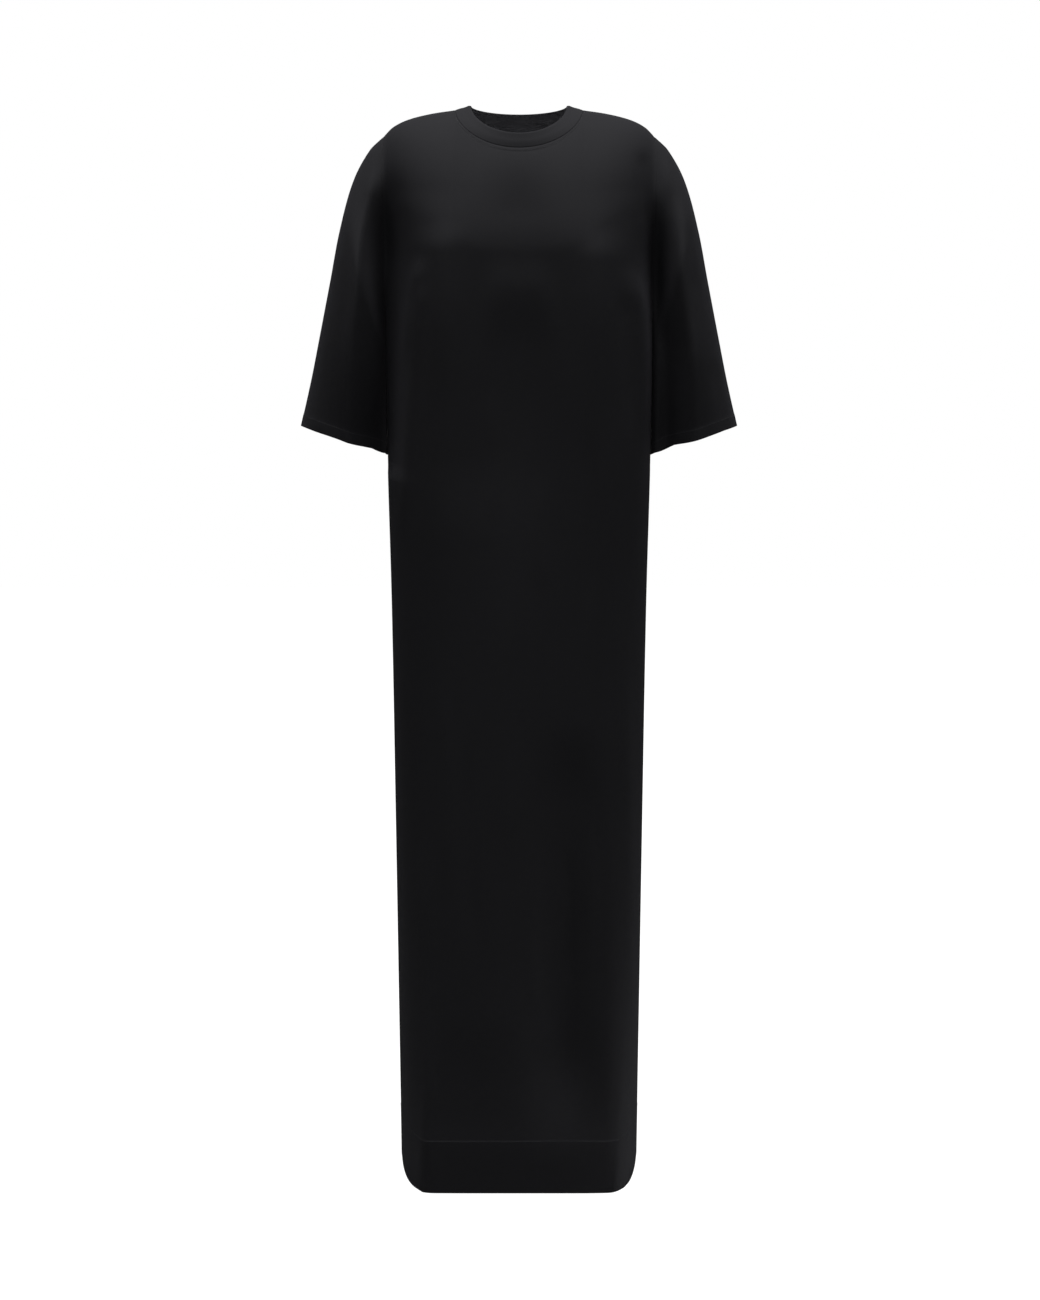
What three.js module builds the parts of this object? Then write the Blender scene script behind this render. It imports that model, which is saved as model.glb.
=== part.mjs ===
// A long t-shirt dress in jersey, filled out as it hangs on a figure: a front and a back panel, two elbow-length
// sleeves and a rib neckband. Every piece is a thin closed wall, and the neck, the cuffs and the hem are open.
// Millimetres, +Z up. The origin lies between the shoulders, level with the sides of the neck. The front faces -Y,
// and the left sleeve is on the viewer's left, at -X.
import * as THREE from "three";

// Driving dimensions
const SEAM_GAP = 0.3;          // between two pieces that are sewn together
const CLOTH = 1.2;             // wall of the single jersey
const HEM_CLOTH = 2.3;         // wall where a hem is turned up
const BAND_CLOTH = 2.0;        // wall of the doubled rib band
const HEM_Z = -1393;           // lower edge of the dress
const HEM_DEPTH = 73;          // turned-up hem of the body
const UNDERARM_Z = -262;       // top of the side seams
const ARMHOLE_X = 170.5;       // plane of the armhole seam
const SHOULDER_END_Z = -31;    // where the shoulder seam meets the sleeve
const NECK_HALF = 80;          // half the width of the neckline
const NECK_SIDE_Z = 1.5;       // height of the neckline at the shoulder seam
const FRONT_NECK_DROP = 50.5;  // from there down to the middle of the front neckline
const BACK_NECK_DROP = 20;
const BAND_HALF = 62;          // half the width of the hole inside the band
const BAND_SIDE_Z = 6.8;       // top of the band at the shoulder seam
const BAND_BULGE = 1;          // how far the band swells out between its edges, in front and behind
const BAND_FRONT = { y: -61, z: -31 };
const BAND_BACK = { y: 48, z: -2 };
const SLEEVE_HEM_DEPTH = 14;
const SLEEVE_HEM_OUTER = { x: 281, z: -393.5 };
const SLEEVE_HEM_TILT = 0.08;  // rise of the sleeve's hem towards the front
const NECK_CURVE = 1.15;       // how pointed the neckline is; 1 is a half ellipse
const BAND_LEAN = 0.8;         // how far the band faces up, against 1 outward

// Numbers of steps in the grids
const NECK_STEPS = 8;
const SHOULDER_STEPS = 10;
const BODY_STEPS = 12;
const ARMHOLE_STEPS = 14;
const SLEEVE_STEPS = 12;
const SLEEVE_RING_SPREAD = 1.25; // above 1, the rings lie closer together at the armhole
const OUTER_LINE_STEPS = 60;

// Sections of the body from the top down: half width, depth in front of and behind the shoulder line, how far the
// front stays flat and how round the side is (2 and 2 are an ellipse).
const BODY_SECTIONS = [
  { z: -100, width: 170.5, front: 127, back: 104, flat: 2.3, round: 2.3 },
  { z: -175, width: 170.5, front: 127, back: 104, flat: 2.6, round: 2.6 },
  { z: -262, width: 170.5, front: 126, back: 103, flat: 3.2, round: 2.8 },
  { z: -433, width: 169.5, front: 121, back: 98, flat: 4.4, round: 2.5 },
  { z: -620, width: 166.5, front: 120, back: 100, flat: 5.0, round: 2.2 },
  { z: -900, width: 164.5, front: 123, back: 108, flat: 6.0, round: 2.0 },
  { z: -1230, width: 162.8, front: 127, back: 117, flat: 9.0, round: 1.5 },
  { z: HEM_Z, width: 162.0, front: 128.5, back: 121, flat: 11.0, round: 1.25 },
];

// How each panel rolls over the shoulder, beside the neck and at the armhole: height of the roll and its roundness.
const ROLL = {
  front: { neckHeight: 175, neckRound: 1.6, armHeight: 105, armRound: 1.9 },
  back: { neckHeight: 110, neckRound: 1.9, armHeight: 95, armRound: 2.0 },
};
const ARMHOLE_DEPTH = { front: 50, back: 56 };
const ARMHOLE_WIDEST_Z = -160;

// The outline of the shoulder and of the sleeve's outer side, from the neck to the sleeve's hem.
const OUTLINE = [
  { x: NECK_HALF, z: NECK_SIDE_Z },
  { x: 111, z: -3.2 },
  { x: 140, z: -10.5 },
  { x: 158.5, z: -19.5 },
  { x: ARMHOLE_X, z: SHOULDER_END_Z },
  { x: 188, z: -47.5 },
  { x: 209, z: -85 },
  { x: 227, z: -146 },
  { x: 240, z: -209 },
  { x: 256, z: -285 },
  { x: 267, z: -336 },
  { x: SLEEVE_HEM_OUTER.x, z: SLEEVE_HEM_OUTER.z },
];
const SHOULDER_SPANS = 4; // spans of the outline that belong to the shoulder seam

// The sleeve's inner side, which hangs along the body, from the underarm to the sleeve's hem.
const SLEEVE_INNER_SIDE = [
  { x: ARMHOLE_X + SEAM_GAP, z: UNDERARM_Z },
  { x: 171, z: -312 },
  { x: 171.2, z: -372 },
  { x: 171.5, z: -431 },
];

// Depth of the sleeve in front of and behind its middle, from the armhole to its hem. It swells to its full
// section over the first part of its length.
const SLEEVE_SWELL = 0.3;
const SLEEVE_SECTIONS = [
  { at: 0, front: 68, back: 70 },
  { at: 0.25, front: 80, back: 80 },
  { at: 0.6, front: 82, back: 84 },
  { at: 1, front: 73, back: 80 },
];

// The largest folds, as soft lines from one point to another. A positive lift stands out of the panel.
const FRONT_FOLDS = [
  { x0: 72, z0: -760, x1: 66, z1: -1330, wide: 42, lift: -6 },
  { x0: 133, z0: -560, x1: 130, z1: -1393, wide: 16, lift: 4 },
  { x0: -126, z0: -900, x1: -124, z1: -1393, wide: 15, lift: 3 },
  { x0: -60, z0: -420, x1: -45, z1: -1250, wide: 60, lift: 4 },
  { x0: -132, z0: -215, x1: -157, z1: -430, wide: 13, lift: 3 },
  { x0: 0, z0: -215, x1: 0, z1: -330, wide: 60, lift: -4 },
];
const BACK_FOLDS = [
  { x0: 48, z0: -180, x1: 70, z1: -640, wide: 24, lift: -5 },
  { x0: -40, z0: -230, x1: -66, z1: -820, wide: 28, lift: -6 },
  { x0: 8, z0: -520, x1: 4, z1: -1240, wide: 34, lift: 5 },
  { x0: 118, z0: -480, x1: 124, z1: -1393, wide: 18, lift: 4 },
  { x0: -112, z0: -700, x1: -120, z1: -1393, wide: 20, lift: 5 },
];
const FOLD_FADE = 110; // length over which a fold dies out at each end

const COLOURS = { jersey: 0x17171a, rib: 0x1c1c20 };

function smoothStep(from, to, value) {
  const t = Math.min(1, Math.max(0, (value - from) / (to - from)));
  return t * t * (3 - 2 * t);
}

// Smooth curve through the rows of a table, ordered by key, for one of its columns.
function tableAt(table, key, column, value) {
  const rising = table[table.length - 1][key] > table[0][key] ? 1 : -1;
  let span = 0;
  while (span < table.length - 2 && rising * value > rising * table[span + 1][key]) span += 1;
  const a = table[span];
  const b = table[span + 1];
  const before = table[Math.max(0, span - 1)];
  const after = table[Math.min(table.length - 1, span + 2)];
  const width = b[key] - a[key];
  const t = Math.min(1, Math.max(0, (value - a[key]) / width));
  const slopeA = (b[column] - before[column]) / (b[key] - before[key]);
  const slopeB = (after[column] - a[column]) / (after[key] - a[key]);
  const t2 = t * t;
  const t3 = t2 * t;
  return (2 * t3 - 3 * t2 + 1) * a[column] + (t3 - 2 * t2 + t) * slopeA * width
    + (3 * t2 - 2 * t3) * b[column] + (t3 - t2) * slopeB * width;
}

// Height of the shoulder line above a point of the panel; it runs on level across the neck.
function shoulderZ(x) {
  return tableAt(OUTLINE.slice(0, SHOULDER_SPANS + 1), "x", "z", Math.max(NECK_HALF, Math.abs(x)));
}

function foldLift(folds, x, z) {
  let lift = 0;
  for (const fold of folds) {
    const t = Math.min(1, Math.max(0, (z - fold.z0) / (fold.z1 - fold.z0)));
    const middle = fold.x0 + (fold.x1 - fold.x0) * smoothStep(0, 1, t);
    const start = smoothStep(fold.z0, fold.z0 - FOLD_FADE, z);
    const end = fold.z1 <= HEM_Z ? 1 : 1 - smoothStep(fold.z1 + FOLD_FADE, fold.z1, z);
    const across = (x - middle) / fold.wide;
    lift += fold.lift * start * end * Math.exp(-across * across);
  }
  return lift;
}

// Depth of the armhole edge of a panel: it closes to nothing at the underarm.
function armholeDepth(side, z) {
  if (z <= UNDERARM_Z) return 0;
  const below = Math.max(0, (ARMHOLE_WIDEST_Z - z) / (ARMHOLE_WIDEST_Z - UNDERARM_Z));
  return ARMHOLE_DEPTH[side] * Math.sqrt(Math.max(0, 1 - below * below));
}

function rollOver(side, x, z) {
  const { neckHeight, neckRound, armHeight, armRound } = ROLL[side];
  const out = smoothStep(NECK_HALF / 2, ARMHOLE_X, Math.abs(x));
  const height = neckHeight + (armHeight - neckHeight) * out;
  const round = neckRound + (armRound - neckRound) * out;
  const down = Math.min(1, Math.max(0, (shoulderZ(x) - z) / height));
  return (1 - (1 - down) ** round) ** (1 / round);
}

// Distance of a panel from the plane through the shoulder and side seams.
function panelDepth(side, across, x, z) {
  const flat = tableAt(BODY_SECTIONS, "z", "flat", z);
  const round = tableAt(BODY_SECTIONS, "z", "round", z);
  const middle = tableAt(BODY_SECTIONS, "z", side, z);
  const share = Math.min(1, Math.abs(across));
  const section = middle * (1 - share ** flat) ** (1 / round);
  const edge = armholeDepth(side, z) * share ** 3;
  const folds = side === "front" ? FRONT_FOLDS : BACK_FOLDS;
  const lift = foldLift(folds, x, z) * (1 - share ** 6);
  return rollOver(side, x, z) * ((section ** 4 + edge ** 4) ** 0.25 + lift);
}

// Share of the half width at each column, closer together where the neckline and the side turn sharply.
function columnShares() {
  const neck = NECK_HALF / ARMHOLE_X;
  const shares = [];
  for (let i = 0; i < NECK_STEPS; i += 1) shares.push(neck * Math.sin((Math.PI / 2) * (i / NECK_STEPS)));
  for (let i = 0; i <= SHOULDER_STEPS; i += 1) {
    shares.push(neck + (1 - neck) * Math.sin((Math.PI / 2) * (i / SHOULDER_STEPS)));
  }
  return shares;
}

function topZ(side, x) {
  const reach = Math.abs(x) / NECK_HALF;
  if (reach >= 1) return shoulderZ(x);
  const drop = side === "front" ? FRONT_NECK_DROP : BACK_NECK_DROP;
  return NECK_SIDE_Z - drop * Math.sqrt(1 - reach * reach) ** NECK_CURVE;
}

// Heights of the level rows under the underarm, from the hem up.
function bodyHeights() {
  const hemTop = HEM_Z + HEM_DEPTH;
  const heights = [HEM_Z, HEM_Z + HEM_DEPTH / 2, hemTop - 1, hemTop + 1];
  for (let i = 1; i < BODY_STEPS; i += 1) {
    heights.push(hemTop + (UNDERARM_Z - hemTop) * (i / BODY_STEPS));
  }
  return heights;
}

function armholeShare(k) {
  return (1 - Math.cos(Math.PI * (k / ARMHOLE_STEPS))) / 2;
}

function panelPoint(side, share, x, z, onSeam) {
  const facing = side === "front" ? -1 : 1;
  const depth = onSeam ? SEAM_GAP / 2 : Math.max(SEAM_GAP / 2, panelDepth(side, share, x, z));
  return new THREE.Vector3(x, facing * depth, z);
}

// Grid of a panel: rows from the hem to the neckline and the shoulder seams, columns from one side to the other.
function panelGrid(side) {
  const half = columnShares();
  const shares = [...half.slice(1).reverse().map((s) => -s), ...half];
  if (side === "back") shares.reverse();
  const grid = [];
  for (const z of bodyHeights()) {
    const width = tableAt(BODY_SECTIONS, "z", "width", z);
    grid.push(shares.map((s) => panelPoint(side, s, s * width, z, Math.abs(s) === 1)));
  }
  for (let k = 0; k <= ARMHOLE_STEPS; k += 1) {
    grid.push(shares.map((s) => {
      const x = s * ARMHOLE_X;
      const top = topZ(side, x);
      const z = UNDERARM_Z + (top - UNDERARM_Z) * armholeShare(k);
      const shoulder = k === ARMHOLE_STEPS && Math.abs(x) >= NECK_HALF - 0.01;
      const underarm = k === 0 && Math.abs(s) === 1;
      return panelPoint(side, s, x, z, shoulder || underarm);
    }));
  }
  return grid;
}

// Outward normal at each point of a grid, from its neighbours.
function gridNormals(grid, closed) {
  const rows = grid.length;
  const columns = grid[0].length;
  return grid.map((row, r) => row.map((point, c) => {
    const up = grid[Math.min(rows - 1, r + 1)][c].clone().sub(grid[Math.max(0, r - 1)][c]);
    const next = closed ? (c + 1) % columns : Math.min(columns - 1, c + 1);
    const last = closed ? (c - 1 + columns) % columns : Math.max(0, c - 1);
    const along = row[next].clone().sub(row[last]);
    return along.cross(up).normalize();
  }));
}

// Closed wall between an outer grid and the grid that lies inside it.
function wall(outer, inner, closed) {
  const rows = outer.length;
  const columns = outer[0].length;
  const positions = [];
  for (const layer of [outer, inner]) {
    for (const row of layer) for (const point of row) positions.push(point.x, point.y, point.z);
  }
  const index = [];
  const quad = (a, b, c, d) => index.push(a, b, c, a, c, d);
  const id = (layer, r, c) => (layer * rows + r) * columns + (c % columns);
  const spans = closed ? columns : columns - 1;
  for (let r = 0; r < rows - 1; r += 1) {
    for (let c = 0; c < spans; c += 1) {
      quad(id(0, r, c), id(0, r, c + 1), id(0, r + 1, c + 1), id(0, r + 1, c));
      quad(id(1, r, c), id(1, r + 1, c), id(1, r + 1, c + 1), id(1, r, c + 1));
    }
    if (!closed) {
      quad(id(0, r, 0), id(0, r + 1, 0), id(1, r + 1, 0), id(1, r, 0));
      quad(id(0, r, spans), id(1, r, spans), id(1, r + 1, spans), id(0, r + 1, spans));
    }
  }
  const top = rows - 1;
  for (let c = 0; c < spans; c += 1) {
    quad(id(0, 0, c), id(1, 0, c), id(1, 0, c + 1), id(0, 0, c + 1));
    quad(id(0, top, c), id(0, top, c + 1), id(1, top, c + 1), id(1, top, c));
  }
  const geometry = new THREE.BufferGeometry();
  geometry.setAttribute("position", new THREE.Float32BufferAttribute(positions, 3));
  geometry.setIndex(index);
  geometry.computeVertexNormals();
  return geometry;
}

function offsetGrid(grid, normals, thickness) {
  return grid.map((row, r) => row.map((point, c) => point.clone().addScaledVector(normals[r][c], -thickness(r))));
}

// Normals of a panel, turned along each seam plane so that the wall stays on its own side of the seam.
function panelNormals(grid) {
  const normals = gridNormals(grid, false);
  const top = grid.length - 1;
  const last = grid[0].length - 1;
  const underarmRow = top - ARMHOLE_STEPS;
  normals.forEach((row, r) => row.forEach((normal, c) => {
    const sign = Math.sign(grid[r][c].x);
    const edge = c === 0 || c === last;
    if (r === 0) normal.z = 0;
    if (edge && r <= underarmRow) normal.y = 0;
    if (edge && r > underarmRow) normal.x = sign * Math.max(0, sign * normal.x);
    if (r === top && Math.abs(grid[r][c].x) >= NECK_HALF - 0.01) normal.y = 0;
    normal.normalize();
  }));
  easeNeckNormals(grid[top], normals[top]);
  return normals;
}

// Turns the normals evenly along the neckline, so that the wall's edge doesn't twist beside the shoulder seam.
function easeNeckNormals(points, normals) {
  const passes = 3;
  for (let pass = 0; pass < passes; pass += 1) {
    const before = normals.map((normal) => normal.clone());
    normals.forEach((normal, c) => {
      if (Math.abs(points[c].x) < NECK_HALF - 0.01) {
        normal.copy(before[c]).add(before[c - 1]).add(before[c + 1]).normalize();
      }
    });
  }
}

function panelParts(side) {
  const grid = panelGrid(side);
  return { grid, normals: panelNormals(grid) };
}

function panelGeometry({ grid, normals }) {
  const hemRows = 2;
  const inner = offsetGrid(grid, normals, (r) => (r <= hemRows ? HEM_CLOTH : CLOTH));
  return wall(grid, inner, false);
}

// Closed list of points on the armhole edge, from the shoulder down the front and up the back.
function armholeLoop() {
  const loop = [];
  for (const side of ["front", "back"]) {
    for (let step = 0; step < ARMHOLE_STEPS; step += 1) {
      const k = side === "front" ? ARMHOLE_STEPS - step : step;
      const z = UNDERARM_Z + (SHOULDER_END_Z - UNDERARM_Z) * armholeShare(k);
      const ends = k === 0 || k === ARMHOLE_STEPS;
      const depth = ends ? 0 : panelPoint(side, 1, ARMHOLE_X, z, false).y;
      loop.push({ y: depth, z });
    }
  }
  return loop;
}

// Point on the sleeve's outer line at a length from the armhole.
function sleeveOuterLine() {
  const fine = [];
  const line = OUTLINE.slice(SHOULDER_SPANS);
  for (let i = 0; i <= OUTER_LINE_STEPS; i += 1) {
    const z = SHOULDER_END_Z + (SLEEVE_HEM_OUTER.z - SHOULDER_END_Z) * (i / OUTER_LINE_STEPS);
    fine.push(new THREE.Vector3(tableAt(line, "z", "x", z), 0, z));
  }
  return new THREE.CatmullRomCurve3(fine);
}

function sleeveInnerLine() {
  return new THREE.CatmullRomCurve3(SLEEVE_INNER_SIDE.map(({ x, z }) => new THREE.Vector3(x, 0, z)));
}

// Places of the rings along the sleeve: share of the way to the hem's stitch line, then millimetres past it.
function sleeveStations() {
  const stations = [];
  for (let i = 0; i <= SLEEVE_STEPS; i += 1) {
    stations.push({ share: (i / SLEEVE_STEPS) ** SLEEVE_RING_SPREAD, past: 0 });
  }
  stations.push({ share: 1, past: 1.5 });
  stations.push({ share: 1, past: SLEEVE_HEM_DEPTH });
  return stations;
}

function sleeveGrid() {
  const outer = sleeveOuterLine();
  const inner = sleeveInnerLine();
  const outerLength = outer.getLength();
  const innerLength = inner.getLength();
  const loop = armholeLoop();
  const count = loop.length;
  return sleeveStations().map(({ share, past }, row) => {
    const top = outer.getPointAt(Math.min(1, (share * (outerLength - SLEEVE_HEM_DEPTH) + past) / outerLength));
    const low = inner.getPointAt(Math.min(1, (share * (innerLength - SLEEVE_HEM_DEPTH) + past) / innerLength));
    const swollen = smoothStep(0, SLEEVE_SWELL, share);
    return loop.map((edge, i) => {
      const turn = (2 * Math.PI * i) / count;
      const side = i <= count / 2 ? "front" : "back";
      const facing = side === "front" ? -1 : 1;
      const round = facing * Math.abs(Math.sin(turn)) * tableAt(SLEEVE_SECTIONS, "at", side, share);
      const point = low.clone().lerp(top, (1 + Math.cos(turn)) / 2);
      point.y = edge.y + (round - edge.y) * swollen;
      point.z -= point.y * SLEEVE_HEM_TILT * share * share;
      if (row === 0) point.set(ARMHOLE_X + SEAM_GAP, edge.y, edge.z);
      return point;
    });
  });
}

function sleeveGeometry(mirror) {
  const grid = sleeveGrid();
  const normals = gridNormals(grid, true);
  const last = grid.length - 1;
  const alongHem = grid[last][0].clone().sub(grid[last][grid[0].length / 2]).normalize();
  const hemAxis = alongHem.cross(new THREE.Vector3(0, 1, -SLEEVE_HEM_TILT)).normalize();
  normals.forEach((row, r) => row.forEach((normal) => {
    if (r === 0) normal.x = Math.min(0, normal.x);
    if (r === last) normal.addScaledVector(hemAxis, -normal.dot(hemAxis));
    normal.normalize();
  }));
  const inner = offsetGrid(grid, normals, (r) => (r >= last - 1 ? HEM_CLOTH : CLOTH));
  if (!mirror) return wall(grid, inner, true);
  const flip = (rows) => rows.map((row) => row.map((p) => new THREE.Vector3(-p.x, p.y, p.z)).reverse());
  return wall(flip(grid), flip(inner), true);
}

// The band runs round the neckline from the same points as the panels' top edges.
function bandGeometry(front, back) {
  const seam = [];
  for (const [side, { grid, normals }] of [["front", front], ["back", back]]) {
    const top = grid.length - 1;
    grid[top].forEach((point, c) => {
      const reach = Math.abs(point.x) / NECK_HALF;
      const corner = Math.abs(reach - 1) < 1e-3;
      const leading = corner && ((side === "front") === (point.x > 0));
      if (reach > 1 + 1e-3 || leading) return;
      seam.push({ side, point: point.clone(), normal: normals[top][c].clone(), corner });
    });
  }
  const outer = [[], [], []];
  const inner = [[], [], []];
  seam.forEach(({ side, point, normal, corner }, i) => {
    const sine = point.x / NECK_HALF;
    const cosine = corner ? 0 : Math.sqrt(Math.max(0, 1 - sine * sine));
    const end = side === "front" ? BAND_FRONT : BAND_BACK;
    const edge = new THREE.Vector3(
      BAND_HALF * sine,
      end.y * cosine,
      BAND_SIDE_Z + (end.z - BAND_SIDE_Z) * cosine ** NECK_CURVE,
    );
    if (corner) point.y = 0;
    const next = seam[(i + 1) % seam.length].point;
    const last = seam[(i - 1 + seam.length) % seam.length].point;
    const across = next.clone().sub(last).cross(normal).normalize();
    const along = across.multiplyScalar(Math.sign(across.dot(edge.clone().sub(point))));
    const start = point.clone().addScaledVector(along, SEAM_GAP);
    const outward = new THREE.Vector3(sine, (side === "front" ? -1 : 1) * cosine, BAND_LEAN).normalize();
    const middle = start.clone().lerp(edge, 0.5).addScaledVector(outward, BAND_BULGE * cosine);
    [start, middle, edge].forEach((p, ring) => {
      outer[ring].push(p);
      inner[ring].push(p.clone().addScaledVector(ring === 0 ? normal : outward, -BAND_CLOTH));
    });
  });
  return wall(outer, inner, true);
}

const dress = new THREE.Group();

function addPiece(name, geometry, colour, roughness) {
  const material = new THREE.MeshStandardMaterial({ color: colour, roughness, metalness: 0 });
  const mesh = new THREE.Mesh(geometry, material);
  mesh.name = name;
  dress.add(mesh);
}

const front = panelParts("front");
const back = panelParts("back");
addPiece("front", panelGeometry(front), COLOURS.jersey, 0.85);
addPiece("back", panelGeometry(back), COLOURS.jersey, 0.85);
addPiece("sleeve_left", sleeveGeometry(true), COLOURS.jersey, 0.85);
addPiece("sleeve_right", sleeveGeometry(false), COLOURS.jersey, 0.85);
addPiece("neckband", bandGeometry(front, back), COLOURS.rib, 0.9);

export default dress;
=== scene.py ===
# A long black t-shirt dress in jersey, filled out as it hangs on a figure, with its seams, hems and light.
# Lengths are millimetres unless a comment says otherwise; meshes are made in metres.
import math

import bpy
import numpy as np
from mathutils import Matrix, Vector


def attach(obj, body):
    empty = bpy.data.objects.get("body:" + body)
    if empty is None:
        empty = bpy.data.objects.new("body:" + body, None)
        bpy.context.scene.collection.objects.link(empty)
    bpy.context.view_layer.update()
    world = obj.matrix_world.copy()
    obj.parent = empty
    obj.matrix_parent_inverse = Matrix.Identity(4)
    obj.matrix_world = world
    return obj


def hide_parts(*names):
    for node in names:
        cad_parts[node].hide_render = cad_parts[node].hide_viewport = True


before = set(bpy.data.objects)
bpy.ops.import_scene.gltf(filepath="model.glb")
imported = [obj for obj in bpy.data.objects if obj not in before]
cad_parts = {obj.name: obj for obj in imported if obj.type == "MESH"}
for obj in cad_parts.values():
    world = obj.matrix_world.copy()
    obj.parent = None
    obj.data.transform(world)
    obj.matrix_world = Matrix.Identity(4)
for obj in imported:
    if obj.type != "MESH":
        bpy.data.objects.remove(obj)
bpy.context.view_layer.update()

MM = 0.001

# Driving dimensions, as in the part's source
HEM_Z = -1393.0
HEM_DEPTH = 73.0
UNDERARM_Z = -262.0
ARMHOLE_X = 170.5
SHOULDER_END_Z = -31.0
NECK_HALF = 80.0
NECK_SIDE_Z = 1.5
FRONT_NECK_DROP = 50.5
BACK_NECK_DROP = 20.0
BAND_HALF = 62.0
BAND_SIDE_Z = 6.8
BAND_FRONT = dict(y=-66.0, z=-31.0)
BAND_BACK = dict(y=50.0, z=-0.5)
BAND_LEAN = 0.8  # how far the band faces up, against 1 outward
NECK_CURVE = 1.15  # how pointed the neckline is; 1 is a half ellipse
SLEEVE_HEM_DEPTH = 14.0
SLEEVE_HEM_OUTER = (281.0, -393.5)
SLEEVE_HEM_INNER_Z = -431.0
SLEEVE_HEM_TILT = 0.08
SLEEVE_SWELL = 0.3  # share of the sleeve's length over which it swells to its full section
SLEEVE_RING_SPREAD = 1.25  # above 1, the rings lie closer together at the armhole

# Cloth
CLOTH = 0.9
HEM_CLOTH = 1.9
BAND_CLOTH = 2.2
SEAM_GAP = 0.1
BAND_RIBS = 330
COLUMNS_PER_RIB = 4
RIB_HEIGHT = 0.14
RIB_FADE = 0.06  # share of the band's height over which the ribs rise from the seam
BAND_SWELL_SIDE = 0.3  # swell of the band at the shoulders; it is 1 more in front and behind

# Stitches
STITCH_EVERY = 3.2
STITCH_LENGTH = 2.4
STITCH_RADIUS = 0.22
STITCH_CORNERS = 6
STITCH_RINGS = [
    dict(place=-1.0, size=0.35),
    dict(place=-0.6, size=0.9),
    dict(place=0.0, size=1.0),
    dict(place=0.6, size=0.9),
    dict(place=1.0, size=0.35),
]
NECK_STITCH_OUT = 6.0

# Soft relief beside a seam or an edge: its lift at a distance from there, and its width. The band's distances
# and widths are shares of its height.
RELIEF = {
    "seam": [dict(lift=-0.3, at=0.0, wide=1.6)],
    "shoulder": [dict(lift=-0.5, at=0.0, wide=1.8)],
    "neckline": [dict(lift=0.45, at=3.0, wide=2.6), dict(lift=-0.35, at=NECK_STITCH_OUT, wide=0.9)],
    "hem_edge": [dict(lift=-0.5, at=0.0, wide=1.2)],
    "band": [dict(lift=-0.35, at=0.6, wide=0.16), dict(lift=0.45, at=0.93, wide=0.08)],
}

# Hems: the panel eases out above its stitch line, and the cloth steps out and thickens as it passes the line
HEM_EASE_LENGTH = 42.0
HEM_EASE_OUT = 1.8
HEM_STEP_SIDE = 0.15
HEM_STEP_FACE = 0.65  # more than at the sides, where the cloth faces the front or the back
HEM_STEP_SPAN = (-1.4, 0.6)
HEM_THICK_SPAN = (-1.5, 1.5)
SLEEVE_HEM_STEP = 0.35
SLEEVE_STEP_SPAN = (-1.2, 0.8)
SLEEVE_THICK_SPAN = (-1.0, 1.5)

# Rows of the grids at the hems: above the hem's edge, from its stitch line, and past the sleeve's stitch line
HEM_EDGE_ROWS = [0.0, 0.6, 1.4, 2.6, 4.2, 7.0, 11.0, 16.0, 22.0]
HEM_MIDDLE_ROWS = np.linspace(29.0, HEM_DEPTH - 7.0, 6)
HEM_LINE_ROWS = np.arange(-5.0, 5.1, 0.8)
BODY_ROWS_START = 9.0
SLEEVE_HEM_ROWS = [0.8, 1.6, 2.6, 4.0, 6.0, 8.5, 10.8, 12.2, 13.2, SLEEVE_HEM_DEPTH]

# Level sections of the body: half width, depth in front and behind, and two powers of the curve between them
BODY_SECTIONS = [
    dict(z=-100.0, width=170.5, front=127.0, back=104.0, flat=2.3, round=2.3),
    dict(z=-175.0, width=170.5, front=127.0, back=104.0, flat=2.6, round=2.6),
    dict(z=-262.0, width=170.5, front=126.0, back=103.0, flat=3.2, round=2.8),
    dict(z=-433.0, width=169.5, front=121.0, back=98.0, flat=4.4, round=2.5),
    dict(z=-620.0, width=166.5, front=120.0, back=100.0, flat=5.0, round=2.2),
    dict(z=-900.0, width=164.5, front=123.0, back=108.0, flat=6.0, round=2.0),
    dict(z=-1230.0, width=162.8, front=127.0, back=117.0, flat=9.0, round=1.5),
    dict(z=HEM_Z, width=162.0, front=128.5, back=121.0, flat=11.0, round=1.25),
]
WAIST = BODY_SECTIONS[3]  # the columns of the panels are spaced along this section
SIDE_CROWDING = 0.12  # how much closer the columns lie where the side turns back

# How a panel rolls over from the shoulder: over what height and how roundly, at the neck and at the armhole
ROLL = {
    "front": dict(neck_height=175.0, neck_round=1.6, arm_height=105.0, arm_round=1.9),
    "back": dict(neck_height=110.0, neck_round=1.9, arm_height=95.0, arm_round=2.0),
}
ARMHOLE_DEPTH = {"front": 50.0, "back": 56.0}
ARMHOLE_WIDEST_Z = -160.0

# Outline seen from the front: down the shoulder from the neck, and on down the sleeve to its hem
OUTLINE = [
    dict(x=NECK_HALF, z=NECK_SIDE_Z),
    dict(x=111.0, z=-3.2),
    dict(x=140.0, z=-10.5),
    dict(x=158.5, z=-19.5),
    dict(x=ARMHOLE_X, z=SHOULDER_END_Z),
    dict(x=188.0, z=-47.5),
    dict(x=209.0, z=-85.0),
    dict(x=227.0, z=-146.0),
    dict(x=240.0, z=-209.0),
    dict(x=256.0, z=-285.0),
    dict(x=267.0, z=-336.0),
    dict(x=SLEEVE_HEM_OUTER[0], z=SLEEVE_HEM_OUTER[1]),
]
SHOULDER_SPANS = 4
ARMHOLE_STEPS = 72  # rows of a panel beside the armhole, and steps of the sleeve's rings on each side

# Depth of the sleeve in front and behind, by the share of the way to its hem
SLEEVE_SECTIONS = [
    dict(at=0.0, front=68.0, back=70.0),
    dict(at=0.25, front=80.0, back=80.0),
    dict(at=0.6, front=82.0, back=84.0),
    dict(at=1.0, front=73.0, back=80.0),
]

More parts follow.
